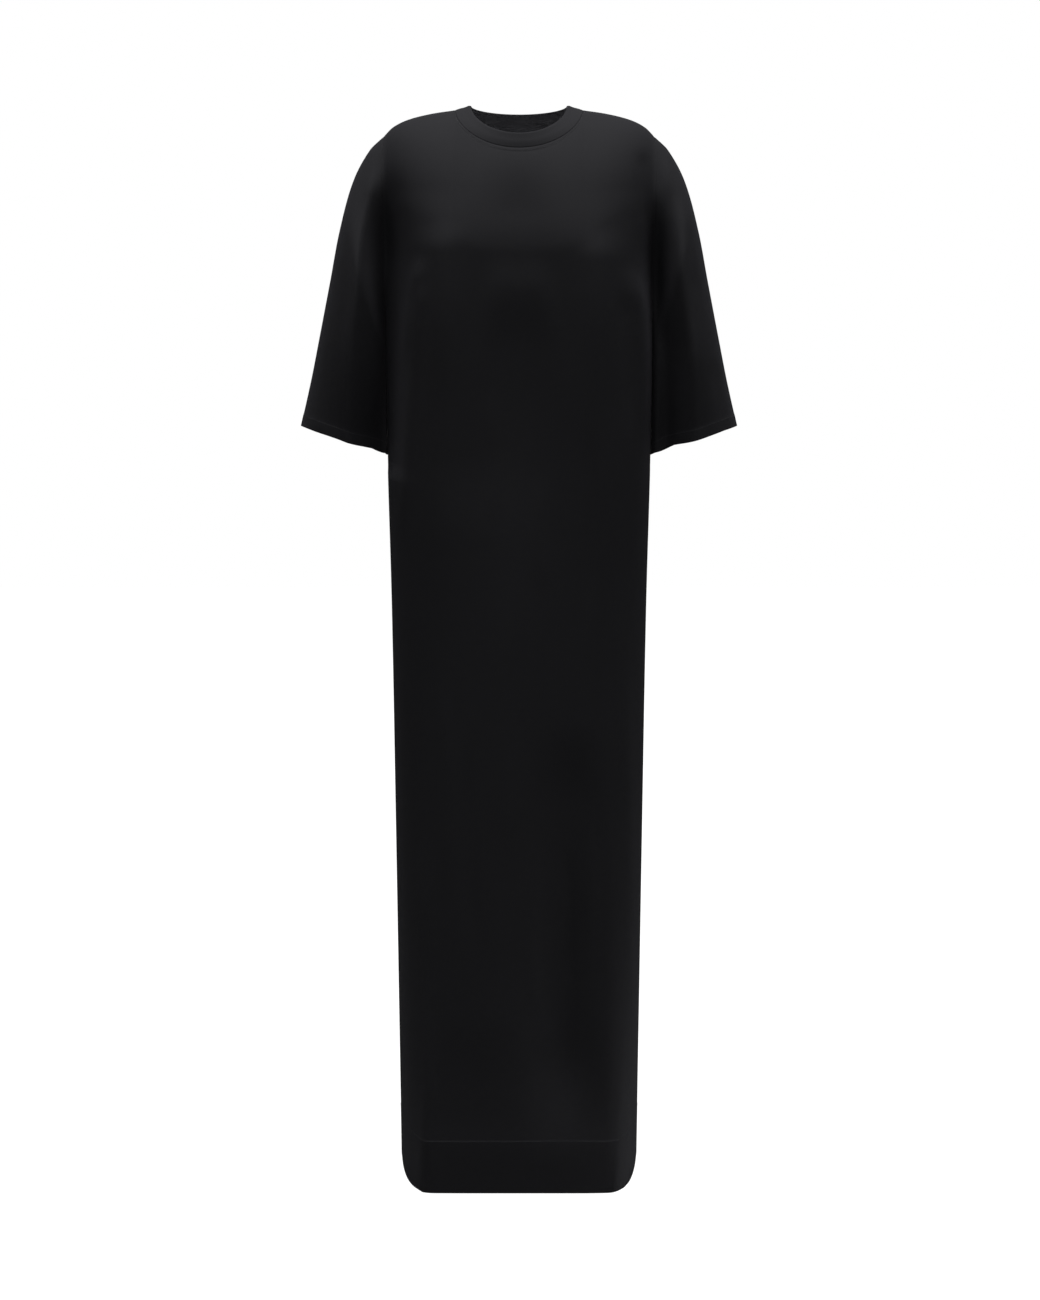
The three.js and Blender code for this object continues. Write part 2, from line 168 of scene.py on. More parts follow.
# Main folds, as in the part's source: a positive lift stands out
FOLD_FADE = 110.0
FOLDS = {
    "front": [
        dict(x0=72, z0=-760, x1=66, z1=-1330, wide=42, lift=-6.0),
        dict(x0=133, z0=-560, x1=130, z1=-1393, wide=16, lift=4.0),
        dict(x0=-126, z0=-900, x1=-124, z1=-1393, wide=15, lift=3.0),
        dict(x0=-60, z0=-420, x1=-45, z1=-1250, wide=60, lift=4.0),
        dict(x0=-132, z0=-215, x1=-157, z1=-430, wide=13, lift=3.0),
        dict(x0=0, z0=-215, x1=0, z1=-330, wide=60, lift=-4.0),
    ],
    "back": [
        dict(x0=48, z0=-180, x1=70, z1=-640, wide=24, lift=-5.0),
        dict(x0=-40, z0=-230, x1=-66, z1=-820, wide=28, lift=-6.0),
        dict(x0=8, z0=-520, x1=4, z1=-1240, wide=34, lift=5.0),
        dict(x0=118, z0=-480, x1=124, z1=-1393, wide=18, lift=4.0),
        dict(x0=-112, z0=-700, x1=-120, z1=-1393, wide=20, lift=5.0),
    ],
}

# Creases seen from the front or back, across panels and sleeves alike. A path runs through x and z places.
# Where it runs down, "right" and "left" are its widths on its +X and -X sides, and where it runs to +X,
# they are the widths above and below it. Its ends fade over "start" and "end".
CREASES = {
    "front": [
        # troughs between body and sleeves
        dict(path=[(-166, -58), (-163, -115), (-159, -225), (-162, -300), (-168, -370), (-176, -450)],
             left=24, right=21, lift=-37, start=135, end=4),
        dict(path=[(174, -92), (170, -148), (173, -197), (181, -251), (189, -310), (192, -450)],
             left=18, right=18, lift=-40, start=135, end=4),
        dict(path=[(153, -45), (156, -100), (160, -165)], left=10, right=8, lift=-4, start=25, end=50),
        # ridges down the sleeves
        dict(path=[(-179, -58), (-186, -105), (-195, -163), (-203, -231), (-211, -300), (-214, -440)],
             left=9, right=12, lift=9, start=45, end=4),
        dict(path=[(186, -52), (192, -115)], left=8, right=10, lift=3, start=25, end=35),
        dict(path=[(216, -225), (221, -320), (223, -450)], left=11, right=17, lift=6, start=90, end=4),
        dict(path=[(-236, -190), (-247, -300), (-258, -410)], left=9, right=12, lift=2.2, start=60, end=20),
        dict(path=[(246, -300), (254, -355), (262, -410)], left=9, right=9, lift=-3, start=35, end=10),
        dict(path=[(208, -130), (214, -190), (220, -240)], left=8, right=7, lift=-1.8, start=30, end=30),
        # fullness of the chest: the cloth slopes out to it and hangs down below, with a hollow between
        dict(path=[(-96, -100), (-95, -250), (-100, -420), (-104, -760)],
             left=33, right=29, lift=6.5, start=72, end=400),
        dict(path=[(-96, -136), (-95, -250), (-99, -400)], left=24, right=23, lift=5, start=36, end=190),
        dict(path=[(99, -104), (100, -250), (104, -420), (108, -760)],
             left=34, right=36, lift=7, start=76, end=400),
        dict(path=[(99, -142), (99, -250), (101, -400)], left=26, right=25, lift=5, start=42, end=190),
        dict(path=[(0, -49), (1, -150), (0, -420), (0, -640)],
             left=42, right=42, lift=-11, start=84, end=330),
        dict(path=[(-52, -212), (0, -222), (52, -212)], left=64, right=32, lift=3.2, start=36, end=36),
        # edges of the body below the chest
        dict(path=[(-118, -176), (-130, -218), (-140, -280), (-146, -330)],
             left=9, right=12, lift=5, start=34, end=80),
        dict(path=[(-117, -205), (-124, -250), (-130, -308), (-136, -357), (-141, -416), (-154, -540)],
             left=6, right=9, lift=2.6, start=30, end=90),
        dict(path=[(136, -186), (153, -234), (160, -278), (165, -330), (166, -430)],
             left=14, right=8, lift=7, start=50, end=80),
        dict(path=[(126, -215), (133, -300), (138, -400)], left=9, right=9, lift=-1.8, start=40, end=60),
        # long soft drapes of the skirt
        dict(path=[(134, -620), (139, -782), (143, -900), (147, -1073), (149, -1223),
                   (146, -1300), (139, -1393)],
             left=13, right=9, lift=5, start=200, end=1),
        dict(path=[(137, -1100), (135, -1260), (129, -1393)], left=6, right=5, lift=1.8, start=150, end=1),
        dict(path=[(-123, -1080), (-120, -1240), (-134, -1393)], left=7, right=9, lift=3.4, start=190, end=1),
        dict(path=[(72, -720), (68, -900), (64, -1100), (66, -1350)],
             left=46, right=30, lift=-15, start=480, end=150),
        dict(path=[(61, -915), (66, -1030), (59, -1140)], left=9, right=11, lift=-1.4, start=60, end=70),
        dict(path=[(-152, -1150), (-153, -1300), (-152, -1393)],
             left=16, right=19, lift=-14, start=210, end=1),
        dict(path=[(154, -1150), (155, -1300), (153, -1393)], left=17, right=16, lift=-13, start=210, end=1),
        dict(path=[(22, -905), (17, -1040), (25, -1180)], left=15, right=9, lift=1.6, start=80, end=80),
        dict(path=[(100, -830), (104, -980), (98, -1160)], left=9, right=12, lift=-1.7, start=90, end=90),
        dict(path=[(-98, -690), (-91, -840), (-95, -1010)], left=12, right=10, lift=1.5, start=90, end=110),
        dict(path=[(-56, -760), (-63, -900), (-58, -1090)], left=11, right=9, lift=-1.4, start=100, end=100),
        dict(path=[(-12, -560), (-18, -760), (-10, -980)], left=18, right=14, lift=1.5, start=120, end=130),
        dict(path=[(84, -370), (90, -520), (88, -640)], left=12, right=12, lift=-1.5, start=80, end=80),
        dict(path=[(-34, -330), (-28, -430), (-32, -520)], left=11, right=8, lift=1.2, start=50, end=60),
        dict(path=[(30, -440), (24, -520), (29, -600)], left=10, right=10, lift=1.2, start=50, end=50),
    ],
    "back": [
        dict(path=[(-170, -70), (-166, -130), (-166, -230), (-174, -310), (-182, -440)],
             left=15, right=12, lift=-15, start=60, end=15),
        dict(path=[(169, -76), (165, -140), (167, -235), (176, -315), (186, -440)],
             left=13, right=16, lift=-16, start=70, end=15),
        dict(path=[(-182, -70), (-190, -130), (-204, -240), (-216, -440)],
             left=9, right=14, lift=6, start=50, end=10),
        dict(path=[(200, -190), (214, -290), (222, -440)], left=14, right=16, lift=5, start=70, end=10),
        dict(path=[(-240, -230), (-250, -320), (-260, -410)], left=10, right=10, lift=-2.4, start=50, end=20),
        dict(path=[(-90, -84), (-86, -180), (-78, -330)], left=38, right=34, lift=4.5, start=90, end=170),
        dict(path=[(92, -80), (88, -180), (84, -310)], left=34, right=38, lift=5, start=90, end=160),
        dict(path=[(-140, -200), (-146, -290), (-151, -400)], left=8, right=12, lift=4, start=40, end=90),
        dict(path=[(143, -210), (150, -300), (153, -430)], left=12, right=8, lift=4, start=40, end=100),
        dict(path=[(0, -60), (3, -130), (-2, -230)], left=20, right=20, lift=-2.2, start=40, end=70),
        dict(path=[(88, -640), (94, -860), (90, -1100)], left=13, right=12, lift=-2.4, start=120, end=130),
        dict(path=[(-24, -480), (-30, -700), (-26, -940)], left=14, right=12, lift=2.0, start=110, end=130),
        dict(path=[(138, -800), (144, -1050), (142, -1393)], left=11, right=7, lift=3.6, start=160, end=1),
        dict(path=[(-136, -900), (-143, -1130), (-138, -1393)], left=7, right=11, lift=3.2, start=150, end=1),
        dict(path=[(-70, -960), (-76, -1100), (-72, -1230)], left=14, right=12, lift=-2.0, start=80, end=80),
        dict(path=[(40, -1010), (46, -1120), (42, -1250)], left=12, right=14, lift=1.8, start=70, end=70),
    ],
}
CREASE_FULL_DEPTH = 36.0  # distance from the side plane over which the creases come in
CREASE_STEPS = 17

# Camera, from the photo's outline
CAMERA_Y = -2618.0
CAMERA_Z = -210.0
CAMERA_X = 1.3
CAMERA_PITCH = math.atan(0.1827)
LENS = 55.9

# Materials: linear colours, and in metres the spacing of the jersey's stitches and the depth of its relief
JERSEY_DARK = (0.0062, 0.0062, 0.0072)
JERSEY_LIGHT = (0.0082, 0.0081, 0.0094)
RIB_DARK = (0.0068, 0.0068, 0.0078)
RIB_LIGHT = (0.0092, 0.0091, 0.0104)
THREAD_DARK = (0.008, 0.008, 0.009)
THREAD_LIGHT = (0.016, 0.016, 0.018)
SHEEN_TINT = (0.86, 0.84, 1.0)
JERSEY_WALE = 0.0011
JERSEY_COURSE = 0.0009
BUMP_DISTANCE = 0.0002

# Studio, in metres and watts
FILL_COLOUR = (0.97, 0.97, 1)
FILL_STRENGTH = 0.07
FLOOR_REACH = 6.0
FLOOR_BELOW_HEM = 0.12
FLOOR_GREY = 0.12
LIGHTS = [
    dict(name="overhead", place=(0, -0.5, 3.4), aim=(0, -0.1, -0.2), size=(2.0, 1.5), watts=312),
    dict(name="front", place=(0, -4.2, 1.2), aim=(0, 0, -0.5), size=(1.4, 2.2), watts=60),
    dict(name="back", place=(0, 4.2, 0.5), aim=(0, 0, -0.6), size=(1.4, 2.2), watts=52),
    dict(name="left", place=(-2.2, -0.9, -0.2), aim=(0, 0, -0.5), size=(0.7, 1.6), watts=3),
    dict(name="right", place=(2.2, -0.9, -0.2), aim=(0, 0, -0.5), size=(0.7, 1.6), watts=5),
    dict(name="low_left", place=(-0.5, -0.3, -1.42), aim=(-0.15, -0.08, -1.34), size=(0.2, 0.2), watts=0.25),
    dict(name="low_right", place=(0.5, -0.2, -1.42), aim=(0.15, -0.08, -1.34), size=(0.2, 0.2), watts=1.05),
    dict(name="inside_neck", place=(0, -0.035, -0.13), aim=(0, 0.06, -0.005), size=(0.1, 0.04), watts=0.27),
]


def smooth_step(start, end, value):
    t = np.clip((value - start) / (end - start), 0.0, 1.0)
    return t * t * (3 - 2 * t)


def lengths_along(grid, axis):
    """Length from a grid's first row or column to each point, along the cloth; a line has axis 0 alone."""
    steps = np.linalg.norm(np.diff(grid, axis=axis), axis=-1)
    start = np.zeros_like(np.take(steps, [0], axis=axis))
    return np.concatenate([start, np.cumsum(steps, axis=axis)], axis=axis)


def rows_at(places, lengths, rows):
    """Rows of an array at places between known lengths."""
    return np.stack([np.interp(places, lengths, column) for column in rows.T], axis=1)


def table_at(rows, key, column, value):
    """Smooth curve through the rows of a table, ordered by key, for one of its columns."""
    keys = np.array([row[key] for row in rows], dtype=float)
    values = np.array([row[column] for row in rows], dtype=float)
    value = np.asarray(value, dtype=float)
    if keys[-1] < keys[0]:
        keys = -keys
        value = -value
    last = len(keys) - 1
    span = np.clip(np.searchsorted(keys, value, side="left") - 1, 0, last - 1)
    before = np.maximum(span - 1, 0)
    after = np.minimum(span + 2, last)
    width = keys[span + 1] - keys[span]
    t = np.clip((value - keys[span]) / width, 0.0, 1.0)
    slope_a = (values[span + 1] - values[before]) / (keys[span + 1] - keys[before])
    slope_b = (values[after] - values[span]) / (keys[after] - keys[span])
    squared = t * t
    cubed = squared * t
    start = (2 * cubed - 3 * squared + 1) * values[span] + (cubed - 2 * squared + t) * slope_a * width
    return start + (3 * squared - 2 * cubed) * values[span + 1] + (cubed - squared) * slope_b * width


def shoulder_z(x):
    return table_at(OUTLINE[:SHOULDER_SPANS + 1], "x", "z", np.maximum(NECK_HALF, np.abs(x)))


def fold_lift(side, x, z):
    lift = np.zeros(np.broadcast(x, z).shape)
    for fold in FOLDS[side]:
        t = np.clip((z - fold["z0"]) / (fold["z1"] - fold["z0"]), 0.0, 1.0)
        middle = fold["x0"] + (fold["x1"] - fold["x0"]) * smooth_step(0.0, 1.0, t)
        strength = smooth_step(fold["z0"], fold["z0"] - FOLD_FADE, z)
        if fold["z1"] > HEM_Z:
            strength = strength * (1 - smooth_step(fold["z1"] + FOLD_FADE, fold["z1"], z))
        across = (x - middle) / fold["wide"]
        lift += fold["lift"] * strength * np.exp(-across * across)
    return lift


def smooth_path(points, count):
    """Points at even lengths on a smooth line through the given ones, and the lengths from its start."""
    points = np.array(points, dtype=float)
    lengths = lengths_along(points, 0)
    rows = [dict(at=length, x=point[0], z=point[1]) for length, point in zip(lengths, points)]
    at = np.linspace(0.0, lengths[-1], count)
    return at, np.stack([table_at(rows, "at", "x", at), table_at(rows, "at", "z", at)], axis=1)


def crease_lift(side, x, z):
    """Sum of the creases at places given by x and z, each from the distance to its path."""
    lift = np.zeros(np.broadcast(x, z).shape)
    for crease in CREASES[side]:
        at, line = smooth_path(crease["path"], CREASE_STEPS)
        step = np.diff(line, axis=0)
        off_x = x[..., None] - line[:-1, 0]
        off_z = z[..., None] - line[:-1, 1]
        length_squared = (step ** 2).sum(axis=1)
        t = np.clip((off_x * step[:, 0] + off_z * step[:, 1]) / length_squared, 0.0, 1.0)
        off_x = off_x - t * step[:, 0]
        off_z = off_z - t * step[:, 1]
        squared = off_x ** 2 + off_z ** 2
        nearest = squared.argmin(axis=-1)[..., None]
        squared = np.take_along_axis(squared, nearest, -1)[..., 0]
        beside = np.take_along_axis(off_x * -step[:, 1] + off_z * step[:, 0], nearest, -1)[..., 0]
        along = (nearest + np.take_along_axis(t, nearest, -1))[..., 0] * at[1]
        width = np.where(beside > 0, crease["right"], crease["left"])
        ends = smooth_step(0.0, crease["start"], along) * smooth_step(0.0, crease["end"], at[-1] - along)
        lift += crease["lift"] * ends * np.exp(-squared / width ** 2)
    return lift


def creased(grid, hand=1.0):
    """The grid with its creases, which die out towards the seams that lie in the side plane.

    A left sleeve is made as a right one and mirrored later, so with hand -1 the creases are those at -X.
    """
    x, y, z = grid[..., 0] * hand, grid[..., 1], grid[..., 2]
    lift = np.where(y < 0, crease_lift("front", x, z), crease_lift("back", x, z))
    moved = grid.copy()
    moved[..., 1] += np.sign(y) * lift * (1 - np.exp(-(y / CREASE_FULL_DEPTH) ** 2))
    return moved


def armhole_depth(side, z):
    below = np.clip((ARMHOLE_WIDEST_Z - z) / (ARMHOLE_WIDEST_Z - UNDERARM_Z), 0.0, 1.0)
    depth = ARMHOLE_DEPTH[side] * np.sqrt(1 - below * below)
    return np.where(z <= UNDERARM_Z, 0.0, depth)


def roll_over(side, x, z):
    roll = ROLL[side]
    out = smooth_step(NECK_HALF / 2, ARMHOLE_X, np.abs(x))
    height = roll["neck_height"] + (roll["arm_height"] - roll["neck_height"]) * out
    power = roll["neck_round"] + (roll["arm_round"] - roll["neck_round"]) * out
    down = np.clip((shoulder_z(x) - z) / height, 0.0, 1.0)
    return (1 - (1 - down) ** power) ** (1 / power)


def panel_depth(side, share, x, z):
    """Distance of a panel from the plane through the shoulder and side seams."""
    flat = table_at(BODY_SECTIONS, "z", "flat", z)
    power = table_at(BODY_SECTIONS, "z", "round", z)
    middle = table_at(BODY_SECTIONS, "z", side, z)
    reach = np.clip(np.abs(share), 0.0, 1.0)
    section = middle * (1 - reach ** flat) ** (1 / power)
    # the armhole's own depth takes over towards the edge, and the folds die out there
    edge = armhole_depth(side, z) * reach ** 3
    lift = fold_lift(side, x, z) * (1 - reach ** 6)
    return roll_over(side, x, z) * ((section ** 4 + edge ** 4) ** 0.25 + lift)


def column_shares(neck_steps, side_steps, samples=4001):
    """Shares of the half width, close together where the neckline turns down and the side turns back."""
    neck = NECK_HALF / ARMHOLE_X
    shares = [neck * math.sin(math.pi / 2 * i / neck_steps) for i in range(neck_steps)]
    fine = 1 - np.linspace(1, 0, samples)[:-1] ** 3 * (1 - neck)
    fine = np.append(fine, 1.0)
    depth = WAIST["front"] * (1 - fine ** WAIST["flat"]) ** (1 / WAIST["round"])
    length = lengths_along(np.stack([fine * WAIST["width"], depth], axis=1), 0)
    t = np.linspace(0.0, 1.0, side_steps + 1)
    eased = t + SIDE_CROWDING * np.sin(2 * np.pi * t) / (2 * np.pi)
    even = np.interp(eased * length[-1], length, fine)
    even[-1] = 1.0
    return np.concatenate([shares, even])


def on_shoulder(x):
    return np.abs(x) >= NECK_HALF - 0.01


def top_z(side, x):
    reach = np.clip(np.abs(x) / NECK_HALF, 0.0, 1.0)
    drop = FRONT_NECK_DROP if side == "front" else BACK_NECK_DROP
    neckline = NECK_SIDE_Z - drop * np.sqrt(1 - reach * reach) ** NECK_CURVE
    return np.where(on_shoulder(x), shoulder_z(x), neckline)


def body_heights(body_steps=128):
    """Heights of the level rows under the underarm, closer together at the hem's edge and its stitch line."""
    hem_top = HEM_Z + HEM_DEPTH
    body = np.linspace(hem_top + BODY_ROWS_START, UNDERARM_Z, body_steps)[:-1]
    hem = np.concatenate([HEM_EDGE_ROWS, HEM_MIDDLE_ROWS]) + HEM_Z
    return np.concatenate([hem, hem_top + HEM_LINE_ROWS, body])


def armhole_shares():
    """Shares of the armhole's height from the underarm up, close together at both ends."""
    return (1 - np.cos(np.pi * np.arange(ARMHOLE_STEPS + 1) / ARMHOLE_STEPS)) / 2


def panel_grid(side, neck_steps=26, side_steps=58):
    """Points of a panel in rows from the hem up, and the number of its level rows below the underarm."""
    half = column_shares(neck_steps, side_steps)
    shares = np.concatenate([-half[:0:-1], half])
    facing = -1.0
    if side == "back":
        shares = shares[::-1]
        facing = 1.0
    heights = body_heights()
    low_z = np.repeat(heights[:, None], len(shares), axis=1)
    low_x = shares[None, :] * table_at(BODY_SECTIONS, "z", "width", low_z)
    top_x = shares * ARMHOLE_X
    up = armhole_shares()[:, None]
    up_z = UNDERARM_Z + (top_z(side, top_x)[None, :] - UNDERARM_Z) * up
    up_x = np.repeat(top_x[None, :], len(up), axis=0)
    x = np.concatenate([low_x, up_x])
    z = np.concatenate([low_z, up_z])
    share = np.repeat(shares[None, :], len(x), axis=0)
    depth = np.maximum(0.0, panel_depth(side, share, x, z))
    count = len(heights)
    depth[:count + 1, [0, -1]] = 0.0
    depth[-1, on_shoulder(x[-1])] = 0.0
    return np.stack([x, facing * depth, z], axis=-1), count


def grid_normals(grid, closed):
    up = np.gradient(grid, axis=0)
    if closed:
        along = np.roll(grid, -1, axis=1) - np.roll(grid, 1, axis=1)
    else:
        along = np.gradient(grid, axis=1)
    normal = np.cross(along, up)
    return normal / np.linalg.norm(normal, axis=-1, keepdims=True)


def unit(vectors):
    return vectors / np.maximum(np.linalg.norm(vectors, axis=-1, keepdims=True), 1e-9)


def wall_mesh(name, outer, inner, closed, material):
    """A closed wall between two grids, with coordinates along the cloth in metres for the knit."""
    rows, columns = outer.shape[:2]
    spans = columns if closed else columns - 1
    inside = rows * columns
    row_start = np.repeat(np.arange(rows - 1), spans) * columns
    column = np.tile(np.arange(spans), rows - 1)
    low, low_next = row_start + column, row_start + (column + 1) % columns
    high, high_next = low + columns, low_next + columns
    first = np.arange(spans)
    second = (first + 1) % columns
    faces = [
        np.stack([low, low_next, high_next, high], 1),
        np.stack([low, high, high_next, low_next], 1) + inside,
        np.stack([first, first + inside, second + inside, second], 1),
        np.stack([first, second, second + inside, first + inside], 1) + (rows - 1) * columns,
    ]
    if not closed:
        start = np.arange(rows - 1) * columns
        after = start + columns
        faces.append(np.stack([start, after, after + inside, start + inside], 1))
        faces.append(np.stack([start, start + inside, after + inside, after], 1) + columns - 1)
    faces = np.concatenate(faces)
    points = np.concatenate([outer.reshape(-1, 3), inner.reshape(-1, 3)])
    piece = quad_object(name, points, faces, material)
    cloth = np.stack([lengths_along(outer, 1), lengths_along(outer, 0)], axis=-1).reshape(-1, 2) * MM
    cloth = np.concatenate([cloth, cloth])
    layer = piece.data.uv_layers.new(name="cloth")
    layer.data.foreach_set("uv", cloth[faces.ravel()].astype(np.float32).ravel())
    return piece


def relief_at(kind, distance):
    """Relief of one kind at distances from its seam or edge."""
    return sum(row["lift"] * np.exp(-((distance - row["at"]) / row["wide"]) ** 2) for row in RELIEF[kind])


def cloth_thickness(past_line, span):
    """Thickness of the wall by its distance past a hem's stitch line."""
    return CLOTH + (HEM_CLOTH - CLOTH) * smooth_step(*span, past_line)


def hem_relief(past_line, facing):
    """Relief of a panel at its hem, most of it where the cloth faces the front or the back."""
    above = np.clip((HEM_EASE_LENGTH + past_line) / HEM_EASE_LENGTH, 0.0, 1.0)
    below = smooth_step(0.0, HEM_DEPTH, past_line)
    ease = HEM_EASE_OUT * above * above * (1 - below) * facing ** 2
    step = (HEM_STEP_SIDE + HEM_STEP_FACE * facing ** 2) * smooth_step(*HEM_STEP_SPAN, past_line)
    return ease + step + relief_at("hem_edge", HEM_DEPTH - past_line)


def panel_inward(grid, normals, count):
    """Directions into the wall, turned along each seam so that the wall stays on its own side of it."""
    edge = np.array([0, -1])
    inward = normals.copy()
    inward[0, :, 2] = 0
    inward[:count + 1, edge, 1] = 0
    sign = np.sign(grid[:, edge, 0])
    inward[count + 1:, edge, 0] = (sign * np.maximum(0, sign * inward[:, edge, 0]))[count + 1:]
    inward[-1, on_shoulder(grid[-1, :, 0]), 1] = 0
    return unit(inward)


def panel_piece(side, material):
    """A panel's object, with the points and the normals of its outer side."""
    grid, count = panel_grid(side)
    grid = creased(grid)
    normals = grid_normals(grid, False)
    across = lengths_along(grid, 1)
    from_side = np.minimum(across, across[:, -1:] - across)
    down = lengths_along(grid, 0)
    from_top = down[-1:] - down
    past_line = HEM_Z + HEM_DEPTH - grid[..., 2]
    shoulder = on_shoulder(grid[-1, :, 0])
    relief = relief_at("seam", from_side) + hem_relief(past_line, normals[..., 1])
    relief += np.where(shoulder, relief_at("shoulder", from_top), relief_at("neckline", from_top))
    outer = grid + normals * relief[..., None]
    edge = np.array([0, -1])
    outer[:, edge, 1] = grid[:, edge, 1]
    outer[-1, shoulder, 1] = grid[-1, shoulder, 1]
    outer[0, :, 2] = HEM_Z
    thick = cloth_thickness(past_line, HEM_THICK_SPAN)
    inner = outer - panel_inward(grid, normals, count) * thick[..., None]
    piece = wall_mesh(f"{side}_cloth", outer, inner, False, material)
    return piece, outer, normals


def armhole_loop():
    """Points of the armhole edge, y and z, from the shoulder down the front and up the back."""
    loop = []
    shares = armhole_shares()
    last = ARMHOLE_STEPS
    for side, facing in (("front", -1), ("back", 1)):
        order = range(last, 0, -1) if side == "front" else range(last)
        for step in order:
            z = UNDERARM_Z + (SHOULDER_END_Z - UNDERARM_Z) * shares[step]
            depth = float(panel_depth(side, 1.0, ARMHOLE_X, np.array(z)))
            loop.append((facing * (0.0 if step in (0, last) else depth), z))
    return np.array(loop)


def along_sleeve(x, z, share, past):
    """Places on a line down the sleeve: a share of the way to the stitch line, and then so far past it."""
    points = np.stack([x, z], axis=1)
    length = lengths_along(points, 0)
    return rows_at(share * (length[-1] - SLEEVE_HEM_DEPTH) + past, length, points)


def sleeve_grid(steps=104, outer_steps=241, inner_steps=60):
    """Points of the right sleeve in rings from the armhole down, and how far each is past the stitch line."""
    share = (np.arange(steps + 1) / steps) ** SLEEVE_RING_SPREAD
    share = np.concatenate([share, np.ones(len(SLEEVE_HEM_ROWS))])
    past = np.concatenate([np.zeros(steps + 1), SLEEVE_HEM_ROWS])
    outer_z = np.linspace(SHOULDER_END_Z, SLEEVE_HEM_OUTER[1], outer_steps)
    outer_x = table_at(OUTLINE[SHOULDER_SPANS:], "z", "x", outer_z)
    inner_z = np.linspace(UNDERARM_Z, SLEEVE_HEM_INNER_Z, inner_steps)
    inner_x = table_at(BODY_SECTIONS, "z", "width", inner_z) + SEAM_GAP
    top = along_sleeve(outer_x, outer_z, share, past)
    low = along_sleeve(inner_x, inner_z, share, past)
    loop = armhole_loop()
    count = len(loop)
    turn = 2 * np.pi * np.arange(count) / count
    front = np.arange(count) <= count / 2
    depth_front = table_at(SLEEVE_SECTIONS, "at", "front", share)
    depth_back = table_at(SLEEVE_SECTIONS, "at", "back", share)
    depth = np.where(front[None, :], -depth_front[:, None], depth_back[:, None])
    rounded = depth * np.abs(np.sin(turn))[None, :]
    mix = (1 + np.cos(turn)) / 2
    xz = low[:, None, :] + (top - low)[:, None, :] * mix[None, :, None]
    towards = smooth_step(0.0, SLEEVE_SWELL, share)[:, None]
    y = loop[None, :, 0] * (1 - towards) + rounded * towards
    z = xz[..., 1] - y * SLEEVE_HEM_TILT * (share * share)[:, None]
    grid = np.stack([xz[..., 0], y, z], axis=-1)
    grid[0, :, 0] = ARMHOLE_X + SEAM_GAP
    grid[0, :, 1:] = loop
    return grid, past


def sleeve_piece(name, left, material):
    """A sleeve's object, the points of its outer side, and the points and normals of its stitch line."""
    grid, past = sleeve_grid()
    grid = creased(grid, -1.0 if left else 1.0)
    normals = grid_normals(grid, True)
    down = lengths_along(grid, 0)
    hem_start = int((past <= 0).sum()) - 1
    past_line = down - down[hem_start]
    relief = relief_at("seam", down) + SLEEVE_HEM_STEP * smooth_step(*SLEEVE_STEP_SPAN, past_line)
    outer = grid + normals * relief[..., None]
    outer[0, :, 0] = grid[0, :, 0]
    outer[..., 0] = np.maximum(outer[..., 0], grid[0, 0, 0])
    inward = normals.copy()
    inward[0, :, 0] = np.minimum(0, inward[0, :, 0])
    along_hem = grid[-1, 0] - grid[-1, grid.shape[1] // 2]
    axis = unit(np.cross(along_hem, np.array([0.0, 1.0, -SLEEVE_HEM_TILT])))
    inward[-1] -= (inward[-1] @ axis)[:, None] * axis
    thick = cloth_thickness(past_line, SLEEVE_THICK_SPAN)
    inner = outer - unit(inward) * thick[..., None]
    if left:
        flip = np.array([-1.0, 1.0, 1.0])
        outer = (outer * flip)[:, ::-1]
        inner = (inner * flip)[:, ::-1]
        normals = (normals * flip)[:, ::-1]
    piece = wall_mesh(name, outer, inner, True, material)
    return piece, outer, outer[hem_start], normals[hem_start]


def band_edge(angle):
    """Top edge of the band at an angle round the neck, 0 in front and positive to +X."""
    sine, cosine = np.sin(angle), np.cos(angle)
    front = cosine >= 0
    size = np.abs(cosine)
    end_y = np.where(front, BAND_FRONT["y"], BAND_BACK["y"])
    end_z = np.where(front, BAND_FRONT["z"], BAND_BACK["z"])
    z = BAND_SIDE_Z + (end_z - BAND_SIDE_Z) * size ** NECK_CURVE
    return np.stack([BAND_HALF * sine, end_y * size, z], axis=-1)


def neckline_point(angle):
    """The neckline of the panels at the same angle."""
    x = NECK_HALF * np.sin(angle)
    points = []
    for side, facing in (("front", -1.0), ("back", 1.0)):
        z = top_z(side, x)
        share = x / ARMHOLE_X
        depth = panel_depth(side, share, x, z)
        points.append(np.stack([x, facing * depth, z], axis=-1))
    return np.where((np.cos(angle) >= 0)[:, None], points[0], points[1])


